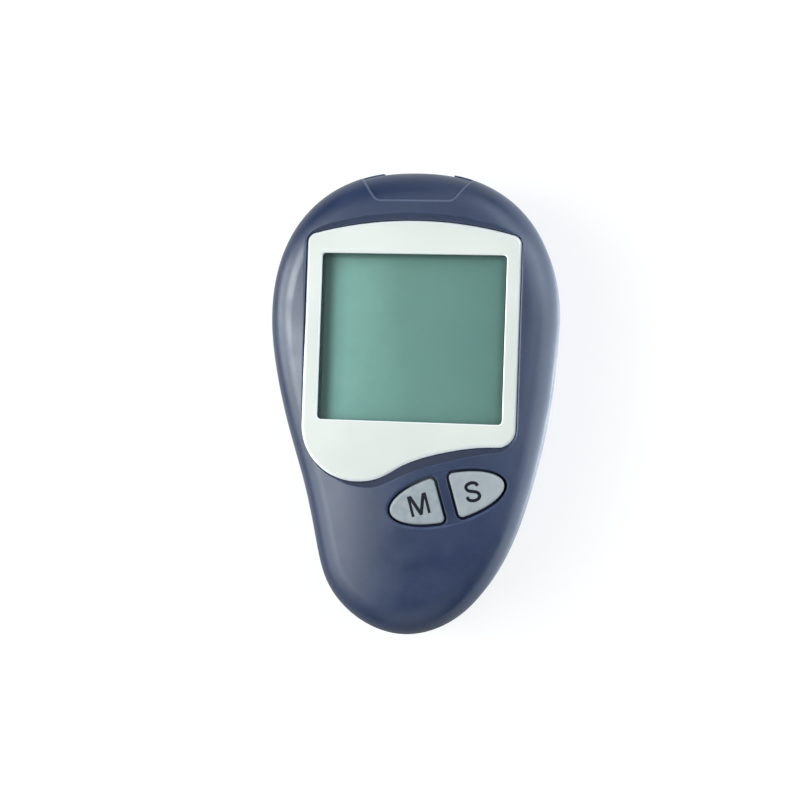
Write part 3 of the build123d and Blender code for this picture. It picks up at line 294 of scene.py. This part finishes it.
# ---- bezel, display, window and keys; sizes and places in mm ----
BEZEL_SOFTENING = (0, 0, 0.8)           # added to the bezel's normals, so that its edges shade softly
WINDOW_SHADOWS = {                      # side: where its shadow starts and ends inside the film, strength
    "left": (2.6, 4.6, 0.90), "head": (1.6, 2.8, 0.60), "right": (2.2, 3.6, 0.45),
    "tail": (1.5, 2.3, 0.30)}
WINDOW_DARKEST_SHADE = {                      # side: width of the near-black band of painted shade along the window's edge
    "left": 1.9, "head": 1.5, "right": 2.2, "tail": 1.6}
DARKEST_SHADE_SOFTNESS = 0.2
KEYS_PAINTED_LIGHT = (2.0, 20.0)                # painted light: the keys get paler from the first X to the second, as the light falls
KEYS_SHADE_HEIGHTS = (21.3, 21.8)             # painted shade: a key is dark below the first height, down in its gap, and keeps its colour above the second


def bezel_look():
    """Silver lacquer: fine flake sparkle, and a painted highlight that makes it paler where the edges are
    bevelled.
    """
    look = Look("silver_lacquer")
    flake = look.cells(0.12)
    drift = look.noise(20, detail=3)
    base = look.mix(look.between(drift, *MOST_OF_NOISE), srgb(224, 224, 217), srgb(232, 231, 224))
    base = look.mix(look.between(flake, 0.05, 0.3, 0.35, 0.0), base, srgb(244, 246, 244))
    normal, mask = look.edges(0.2)
    # painted highlight on the bevelled faces and the edges
    bevel = look.between(look.facing_up(), 0.75, 0.97, 1.0, 0.0)
    bevel_highlight = look.maths("MAXIMUM", look.maths("MULTIPLY", mask, 0.4), bevel)
    look.set("Base Color", look.mix(bevel_highlight, base, srgb(254, 255, 254)))
    look.set("Metallic", 0.15)
    look.set("Roughness", look.between(flake, 0.0, 0.5, 0.30, 0.42))
    look.bump(flake, 0.004, strength=0.6, normal=look.vector("ADD", normal, BEZEL_SOFTENING))
    return look


def display_look():
    """Unlit liquid crystal film: grey-green, cloudy, with a few specks of dust; painted light makes it paler
    at the left, and painted shade darkens it along the window's edges.
    """
    look = Look("display_film")
    low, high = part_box("lcd_front_polariser")
    # painted light: the film grows paler towards the left, where the light falls from
    across = look.between(look.axis("X"), low.x, high.x)
    clouds = look.noise(12, detail=5, roughness=0.6)
    shade = look.maths("ADD", look.maths("MULTIPLY", across, 0.8), look.maths("MULTIPLY", clouds, 0.35))
    base = look.mix(look.between(shade, 0.05, 0.6), srgb(141, 190, 179), srgb(102, 145, 134))
    base = look.mix(look.between(shade, 0.55, 1.15), base, srgb(89, 132, 126))
    inwards = {
        "left": look.maths("SUBTRACT", look.axis("X"), low.x),
        "head": look.maths("SUBTRACT", high.y, look.axis("Y")),
        "right": look.maths("SUBTRACT", high.x, look.axis("X")),
        "tail": look.maths("SUBTRACT", look.axis("Y"), low.y)}
    for side, (start, end, strength) in WINDOW_SHADOWS.items():
        shadow = look.between(inwards[side], start * MM, end * MM, strength, 0.0)
        base = look.mix(shadow, base, srgb(40, 62, 60))
    # painted shade: a near-black band where the window's edge lies deepest in shade
    for side, width in WINDOW_DARKEST_SHADE.items():
        darkest_shade = look.between(inwards[side], (width - DARKEST_SHADE_SOFTNESS) * MM, width * MM, 1.0, 0.0)
        base = look.mix(darkest_shade, base, srgb(20, 26, 28))
    dust = look.between(look.cells(6), 0.012, 0.022, 0.55, 0.0)
    look.set("Base Color", look.mix(dust, base, srgb(190, 215, 205)))
    look.set("Roughness", look.between(clouds, *MOST_OF_NOISE, 0.38, 0.5))
    look.bump(look.noise(0.12, detail=2), 0.003, strength=0.4)
    return look


def lens_look():
    """Clear window: mostly see-through, with a faint haze and the gloss of a hard coat."""
    look = Look("clear_window")
    smears = look.noise(8, detail=4)
    look.set("Base Color", look.mix(smears, srgb(120, 160, 148), srgb(150, 180, 170)))
    look.set("Roughness", look.between(smears, *MOST_OF_NOISE, 0.05, 0.12))
    look.set("Alpha", 0.10)
    return look


def key_look():
    """Pale key caps; paler rims and a paler right-hand side are painted light, and their flanges below the
    shell are painted dark as shade in the gaps.
    """
    look = Look("key_plastic")
    drift = look.noise(1.6, detail=4)
    base = look.mix(look.between(drift, *MOST_OF_NOISE), srgb(145, 151, 158), srgb(160, 166, 169))
    normal, mask = look.edges(0.45)
    # painted highlight: the rounded rims are paler, as where they catch the light
    base = look.mix(look.maths("MULTIPLY", mask, 0.85), base, srgb(206, 214, 214))
    # painted light, paler towards the S key's side
    start, end = (x * MM for x in KEYS_PAINTED_LIGHT)
    base = look.mix(look.between(look.axis("X"), start, end, 0.0, 0.5), base, srgb(180, 183, 185))
    # painted shade on the key's flanks and flange down in the gap round it
    low, high = (height * MM for height in KEYS_SHADE_HEIGHTS)
    gap_shade = look.between(look.axis("Z"), low, high, 1.0, 0.0)
    look.set("Base Color", look.mix(gap_shade, base, srgb(40, 48, 80)))
    look.set("Roughness", look.between(look.noise(4), *MOST_OF_NOISE, 0.38, 0.48))
    look.bump(look.noise(0.5, detail=2), 0.01, normal=normal)
    return look


# ---- materials of the inside; sizes in mm ----
TRACK_HALF_PITCH = 0.6                  # half the distance from one copper track to the next
TRACK_EDGE = (0.2, 0.3)                 # from a track's middle: its colour changes between these
TRACK_WANDER = 12                       # how far the noise moves the tracks aside
CELL_BAND = (0.80, 0.803)               # the copper band starts here, as shares of the cell's length
CELL_FOOT_END = (0.001, 0.002)          # the bare ends, as such shares too
CELL_NUB_END = (0.996, 0.999)


def adhesive_look():
    return plastic("black_film", srgb(20, 20, 21), srgb(30, 30, 31), 0.55, grain=0.4)


def foam_look():
    return plastic("black_foam", srgb(16, 16, 17), srgb(28, 28, 29), 0.85, grain=0.3, depth=0.06)


def glass_look():
    return plastic("display_glass", srgb(110, 138, 130), srgb(120, 148, 140), 0.12, grain=3, depth=0.002)


def reflector_look():
    return metal("reflector_film", srgb(170, 176, 170), srgb(150, 158, 150), 0.3, metallic=0.6)


def holder_look():
    return plastic("white_plastic", srgb(206, 206, 200), srgb(218, 218, 212), 0.45)


def silicone_look():
    return plastic("silicone_strip", srgb(150, 96, 92), srgb(166, 110, 104), 0.6, grain=0.2)


def board_look():
    """Green solder mask over copper tracks."""
    look = Look("solder_mask")
    wander = look.maths("MULTIPLY", look.noise(15, detail=0), TRACK_WANDER * MM)
    tracks = look.maths("PINGPONG", look.maths("ADD", look.axis("X"), wander), TRACK_HALF_PITCH * MM)
    low, high = (distance * MM for distance in TRACK_EDGE)
    look.set("Base Color", look.mix(look.between(tracks, low, high), srgb(18, 74, 44), srgb(30, 98, 58)))
    look.set("Roughness", look.between(look.noise(4), *MOST_OF_NOISE, 0.3, 0.42))
    look.bump(tracks, 0.02, strength=0.4)
    return look


def chip_look():
    """Black moulded resin."""
    look = Look("chip_resin")
    look.set("Base Color", look.mix(look.noise(0.4), srgb(26, 26, 28), srgb(42, 42, 44)))
    look.set("Roughness", look.between(look.noise(1), *MOST_OF_NOISE, 0.5, 0.65))
    look.bump(look.noise(0.1, detail=2), 0.008)
    return look


def passive_look():
    """Ceramic with tinned patches."""
    look = Look("ceramic_chip")
    tinned = look.between(look.cells(1.6), 0.3, 0.32)
    look.set("Base Color", look.mix(tinned, srgb(150, 122, 92), srgb(190, 190, 188)))
    look.set("Roughness", look.between(look.noise(0.5), *MOST_OF_NOISE, 0.35, 0.55))
    look.bump(look.noise(0.2), 0.01)
    return look


def black_look():
    return plastic("black_plastic", srgb(24, 24, 25), srgb(36, 36, 37), 0.45)


def switch_look():
    return plastic("switch_body", srgb(34, 34, 35), srgb(46, 46, 47), 0.5)


def cell_look(name, nub_up):
    """Plain cell jacket: dark with a copper band at the nub end, bare steel at both ends.

    nub_up is 1 for the cell whose nub points to the head end, and -1 for the other one.
    """
    look = Look(name)
    low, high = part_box("battery_cell_left" if nub_up < 0 else "battery_cell_right")
    along = look.between(look.axis("Y"), low.y, high.y)
    if nub_up < 0:
        along = look.maths("SUBTRACT", 1.0, along)
    grain = look.noise(1.5, detail=3)
    jacket = look.mix(grain, srgb(26, 28, 32), srgb(38, 40, 46))
    copper = look.mix(grain, srgb(170, 104, 58), srgb(192, 126, 74))
    base = look.mix(look.between(along, *CELL_BAND), jacket, copper)
    nub_end = look.between(along, *CELL_NUB_END)
    ends = look.maths("ADD", nub_end, look.between(along, *CELL_FOOT_END, 1.0, 0.0))
    look.set("Base Color", look.mix(look.maths("MINIMUM", ends, 1.0), base, srgb(180, 182, 184)))
    look.set("Metallic", look.maths("MULTIPLY", ends, 0.9, clamp=True))
    look.set("Roughness", look.between(grain, *MOST_OF_NOISE, 0.24, 0.34))
    look.bump(grain, 0.01, strength=0.4)
    return look


def nickel_look():
    return metal("spring_nickel", srgb(206, 204, 196), srgb(176, 174, 166), 0.22, brush=(1, 6, 1))


def zinc_look():
    return metal("zinc_steel", srgb(176, 178, 182), srgb(150, 152, 158), 0.28, brush=(8, 8, 1))


def dress(look, *names):
    """Gives every material slot of the named nodes one finish."""
    for name in names:
        slots = NODES[name].data.materials
        for index in range(len(slots)):
            slots[index] = look.material


dress(shell_look(), "front_shell", "rear_shell", "battery_door")
dress(bezel_look(), "display_bezel")
dress(lens_look(), "display_lens")
dress(display_look(), "lcd_front_polariser")
dress(key_look(), "button_m", "button_s")
dress(adhesive_look(), "bezel_adhesive")
dress(foam_look(), "display_dust_seal")
dress(glass_look(), "lcd_front_glass", "lcd_rear_glass")
dress(reflector_look(), "lcd_rear_reflector")
dress(holder_look(), "lcd_holder")
dress(silicone_look(), "lcd_connector_strip")
dress(board_look(), "main_board")
dress(chip_look(), "processor_chip", "analog_chip", "memory_chip")
dress(passive_look(), "board_passives")
dress(black_look(), "buzzer", "strip_connector", "key_plunger_m", "key_plunger_s")
dress(switch_look(), "key_switch_m", "key_switch_s")
dress(cell_look("cell_jacket_left", -1), "battery_cell_left")
dress(cell_look("cell_jacket_right", 1), "battery_cell_right")
dress(nickel_look(), "strip_contacts", "battery_plate_negative", "battery_spring_negative",
      "battery_plate_positive", "battery_bridge", "battery_bridge_spring")
dress(zinc_look(), "housing_screws", "board_screws", "clock_crystal")


# ---- printed key letters ----
KEY_CENTRE = Vector((9.45, -19.45)) * MM    # of the ellipse that both keys make
KEY_TILT = math.radians(16.4)
PRINT_ABOVE = 0.012 * MM                # the print's face over the key's top
PRINT_BELOW = 0.05 * MM                 # the print's thickness, most of it inside the key
STROKE = 0.63 * MM
LONG_EDGE = 2 * STROKE                  # longer edges are cut, so that the print follows the key's crown
EDGE_CUTS = 4
M_PLACE = (-5.80, 0.04)                 # of each letter's centre in mm, along the ellipse and across it
M_TILT = math.radians(16.2)
S_PLACE = (5.59, -0.08)
S_TILT = math.radians(12.0)
S_HALF_STROKE = 0.54                    # share of the stroke on each side of the S's middle line
S_STEPS = 6                             # points on each stretch of the S


def ink_look():
    """Nearly black, matt printing ink."""
    look = Look("key_ink")
    look.set("Base Color", look.mix(look.noise(0.4), srgb(12, 15, 22), srgb(24, 27, 34)))
    look.set("Roughness", look.between(look.noise(0.3), *MOST_OF_NOISE, 0.45, 0.6))
    look.set("Specular IOR Level", 0.25)
    look.bump(look.noise(0.2), 0.004)
    return look


def letter_m():
    """Outline of the M about its own centre, in metres."""
    half_width, half_height = 2.03, 2.17
    stem, shoulder, dip, tip = 0.58, 0.88, 1.2, 0.30
    right = [
        (half_width - shoulder, half_height), (half_width, half_height), (half_width, -half_height),
        (half_width - stem, -half_height), (half_width - stem, half_height - dip), (tip, -half_height)]
    left = [(-x, y) for x, y in reversed(right)]
    return [Vector(point) * MM for point in [(0, -half_height + dip)] + right + left]


def smooth_line(points, steps):
    """A Catmull-Rom line through points."""
    line = []
    ends = [2 * points[0] - points[1]] + points + [2 * points[-1] - points[-2]]
    for index in range(1, len(ends) - 2):
        before, start, end, after = ends[index - 1:index + 3]
        for step in range(steps):
            t = step / steps
            line.append(0.5 * (2 * start + (end - before) * t
                               + (2 * before - 5 * start + 4 * end - after) * t ** 2
                               + (3 * start - before - 3 * end + after) * t ** 3))
    return line + [points[-1]]


def letter_s():
    """Outline of the S about its own centre, in metres."""
    middle = [
        (1.20, 1.02), (0.92, 1.58), (0.05, 1.85), (-0.90, 1.54), (-1.18, 0.92), (-0.78, 0.34), (0.0, 0.06),
        (0.86, -0.26), (1.27, -0.92), (0.94, -1.58), (0.02, -1.85), (-0.98, -1.56), (-1.30, -0.86)]
    line = smooth_line([Vector(point) * MM for point in middle], S_STEPS)
    sides = ([], [])
    for index, point in enumerate(line):
        along = (line[min(index + 1, len(line) - 1)] - line[max(index - 1, 0)]).normalized()
        across = Vector((-along.y, along.x)) * STROKE * S_HALF_STROKE
        sides[0].append(point + across)
        sides[1].append(point - across)
    return sides[0] + sides[1][::-1]


def key_letter(name, key, outline, centre, tilt):
    """A printed letter that lies on a key's crowned top and moves with the key."""
    turn = Matrix.Rotation(tilt, 2)
    place = KEY_CENTRE + Matrix.Rotation(KEY_TILT, 2) @ (Vector(centre) * MM)
    cap = NODES[key].data
    corners = [vert.co for vert in cap.vertices]
    surface = BVHTree.FromPolygons(corners, [face.vertices for face in cap.polygons])
    form = bmesh.new()
    rim = [form.verts.new((*(place + turn @ point), 0)) for point in outline]
    edges = [form.edges.new((rim[index - 1], rim[index])) for index in range(len(rim))]
    bmesh.ops.triangle_fill(form, edges=edges, use_beauty=True)
    long = [edge for edge in form.edges if edge.calc_length() > LONG_EDGE]
    bmesh.ops.subdivide_edges(form, edges=long, cuts=EDGE_CUTS, use_grid_fill=False)
    bmesh.ops.triangulate(form, faces=form.faces[:])
    for vert in form.verts:
        hit = surface.ray_cast(Vector((vert.co.x, vert.co.y, 1)), Vector((0, 0, -1)))[0]
        vert.co.z = hit.z + PRINT_ABOVE
    bmesh.ops.recalc_face_normals(form, faces=form.faces[:])
    if sum(face.normal.z for face in form.faces) < 0:
        bmesh.ops.reverse_faces(form, faces=form.faces[:])
    grown = bmesh.ops.extrude_face_region(form, geom=form.faces[:])
    upper = {item for item in grown["geom"] if isinstance(item, bmesh.types.BMVert)}
    for vert in form.verts:
        if vert not in upper:
            vert.co.z -= PRINT_BELOW
    bmesh.ops.recalc_face_normals(form, faces=form.faces[:])
    mesh = bpy.data.meshes.new(name)
    form.to_mesh(mesh)
    form.free()
    mesh.materials.append(INK)
    piece = bpy.data.objects.new(name, mesh)
    bpy.context.scene.collection.objects.link(piece)
    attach(piece, "key_m" if key == "button_m" else "key_s")


INK = ink_look().material
key_letter("letter_m", "button_m", letter_m(), M_PLACE, M_TILT)
key_letter("letter_s", "button_s", letter_s(), S_PLACE, S_TILT)


# ---- floor, light and camera; places and sizes in metres ----
SOFT_CORE = 6                           # degrees: each light is at its full strength within it
SOFT_LIGHTS = [                         # azimuth, elevation and reach in degrees, strength
    (0, 34, 42, 0.56), (34, 34, 38, 1.20), (180, 34, 42, 1.50), (270, 34, 42, 0.65), (50, 60, 42, 0.92),
    (210, 10, 24, 0.66), (192, 45, 24, 0.98), (178, 60, 20, 0.55), (0, 4, 28, 1.1), (90, 14, 32, 0.45),
    (52, 34, 24, 0.55)]
LEFT_TINT = (0.94, 1.0, 0.995)          # colours of the light on the left and on the right
RIGHT_TINT = (0.80, 0.91, 1.0)
SKY_TINT_AT = 0.6                       # X of the direction from which on the right's colour is the full one
FLOOR_TINT_AT = 0.7
PANEL_SIZE = 0.14
PANELS = [                              # place, power in watts
    ((-0.30, -0.08, 0.04), 0.06), ((-0.30, 0.04, 0.04), 0.27), ((-0.30, -0.08, 0.28), 0.09),
    ((-0.30, 0.04, 0.28), 0.56), ((0.28, 0.0, 0.05), 0.06), ((0.28, 0.14, 0.05), 0.12),
    ((0.28, 0.14, 0.16), 0.09)]
PANEL_AIM = (0.026, 0.02, 0.018)        # on the flank of the side that the panel stands on
FLOOR_HALF_WIDTH = 3.0
FLOOR_LIT = (0.66, 0.66, 0.66)          # the floor's colour for the light that it throws back
FLOOR_SEEN = (0.30, 0.30, 0.30)         # and for the camera, which gets a glow besides
FLOOR_GLOW = 0.75
FLOOR_MIRRORED = [                      # side of the object, levels far from it and close to it
    ((1, 0), 2.4, 2.4), ((-1, 0), 0.2, 0.8), ((0, 1), 0.7, 0.8), ((0, -1), 0.37, 0.37)]
FLOOR_REACH = (0.031, 0.049)            # half width and half length of what stands on it
FLOOR_CLOSE = 1.2                       # times that reach: the levels change between these distances
FLOOR_FAR = 3.0
CAMERA_PLACE = Vector((44.3, -4.25, 309.5)) * MM
CAMERA_FORWARD = Vector((-0.1559, 0.016, -0.9876))
CAMERA_UP = Vector((-0.0311, 0.9993, 0.0211))
CAMERA_LENS = 63.0                      # this and the sensor in mm
CAMERA_SENSOR = 36.0
CAMERA_NEAR = 0.01


def mirrored_floor(shading):
    """How bright and of what colour reflections see the floor, by the direction from the middle."""
    heading = shading.vector("NORMALIZE", shading.place)
    distance = shading.vector("LENGTH", shading.vector("DIVIDE", shading.place, (*FLOOR_REACH, 1)))
    total = 0.0
    for side, far, near in FLOOR_MIRRORED:
        facing = shading.vector("DOT_PRODUCT", heading, (*side, 0))
        share = shading.maths("POWER", shading.maths("MAXIMUM", facing, 0.0), 2.0)
        level = shading.between(distance, FLOOR_CLOSE, FLOOR_FAR, near, far)
        total = shading.maths("ADD", shading.maths("MULTIPLY", share, level), total)
    right = shading.between(shading.axis("X", heading), 0.0, FLOOR_TINT_AT)
    return total, shading.mix(right, LEFT_TINT, RIGHT_TINT)


def floor_look():
    """Pale and matt, so that it keeps the shadow; reflections see it at levels of its own."""
    material = bpy.data.materials.new("pale_floor")
    material.use_nodes = True
    nodes = material.node_tree.nodes
    nodes.remove(nodes["Principled BSDF"])
    shading = Shading(material.node_tree, "Object")
    matt = shading.new("ShaderNodeBsdfDiffuse")
    shading.feed(matt, "Color", shading.mix(shading.rays("Is Camera Ray"), FLOOR_LIT, FLOOR_SEEN))
    glow = shading.new("ShaderNodeEmission")
    seen = shading.rays("Is Camera Ray", "Is Transmission Ray")
    shading.feed(glow, "Strength", shading.maths("MULTIPLY", seen, FLOOR_GLOW))
    plain = shading.new("ShaderNodeAddShader")
    shading.feed(plain, 0, matt.outputs[0])
    shading.feed(plain, 1, glow.outputs[0])
    mirrored = shading.new("ShaderNodeEmission")
    level, colour = mirrored_floor(shading)
    shading.feed(mirrored, "Strength", level)
    shading.feed(mirrored, "Color", colour)
    pick = shading.new("ShaderNodeMixShader")
    shading.feed(pick, 0, shading.rays("Is Glossy Ray"))
    shading.feed(pick, 1, plain.outputs[0])
    shading.feed(pick, 2, mirrored.outputs[0])
    shading.feed(nodes["Material Output"], "Surface", pick.outputs[0])
    return material


def make_floor():
    mesh = bpy.data.meshes.new("floor")
    form = bmesh.new()
    bmesh.ops.create_grid(form, x_segments=1, y_segments=1, size=FLOOR_HALF_WIDTH)
    form.to_mesh(mesh)
    form.free()
    mesh.materials.append(floor_look())
    floor = bpy.data.objects.new("floor", mesh)
    bpy.context.scene.collection.objects.link(floor)


def make_world():
    """Studio: broad soft lights round the object, and plain white where the camera sees it."""
    world = bpy.data.worlds.new("studio")
    bpy.context.scene.world = world
    world.use_nodes = True
    shading = Shading(world.node_tree, "Generated")
    full = math.cos(math.radians(SOFT_CORE))
    total = 0.0
    for azimuth, elevation, reach, strength in SOFT_LIGHTS:
        turn, rise = math.radians(azimuth), math.radians(elevation)
        towards = (math.cos(rise) * math.cos(turn), math.cos(rise) * math.sin(turn), math.sin(rise))
        facing = shading.vector("DOT_PRODUCT", shading.place, towards)
        light = shading.between(facing, math.cos(math.radians(reach)), full, 0.0, strength)
        total = shading.maths("ADD", light, total)
    seen = shading.rays("Is Camera Ray", "Is Transmission Ray")
    unseen = shading.maths("SUBTRACT", 1.0, seen)
    right = shading.between(shading.axis("X"), 0.0, SKY_TINT_AT)
    sky = world.node_tree.nodes["Background"]
    shading.feed(sky, "Strength", shading.maths("ADD", shading.maths("MULTIPLY", total, unseen), seen))
    shading.feed(sky, "Color", shading.mix(seen, shading.mix(right, LEFT_TINT, RIGHT_TINT), WHITE))


def make_panels():
    """Small soft panels close to the flanks."""
    for number, (place, power) in enumerate(PANELS):
        lamp = bpy.data.lights.new(f"panel_{number}", "AREA")
        lamp.size = PANEL_SIZE
        lamp.energy = power
        lamp.color = RIGHT_TINT if place[0] > 0 else LEFT_TINT
        thing = bpy.data.objects.new(lamp.name, lamp)
        bpy.context.scene.collection.objects.link(thing)
        target = Vector(PANEL_AIM)
        target.x = math.copysign(target.x, place[0])
        thing.location = place
        thing.rotation_euler = (target - Vector(place)).to_track_quat("-Z", "Y").to_euler()


def make_camera():
    camera = bpy.data.cameras.new("camera")
    camera.sensor_width = CAMERA_SENSOR
    camera.lens = CAMERA_LENS
    camera.clip_start = CAMERA_NEAR
    thing = bpy.data.objects.new("camera", camera)
    bpy.context.scene.collection.objects.link(thing)
    forward = CAMERA_FORWARD.normalized()
    right = forward.cross(CAMERA_UP).normalized()
    turn = Matrix((right, right.cross(forward), -forward)).transposed().to_4x4()
    thing.matrix_world = Matrix.Translation(CAMERA_PLACE) @ turn
    bpy.context.scene.camera = thing


make_floor()
make_world()
make_panels()
make_camera()
bpy.context.scene.view_settings.view_transform = "Standard"
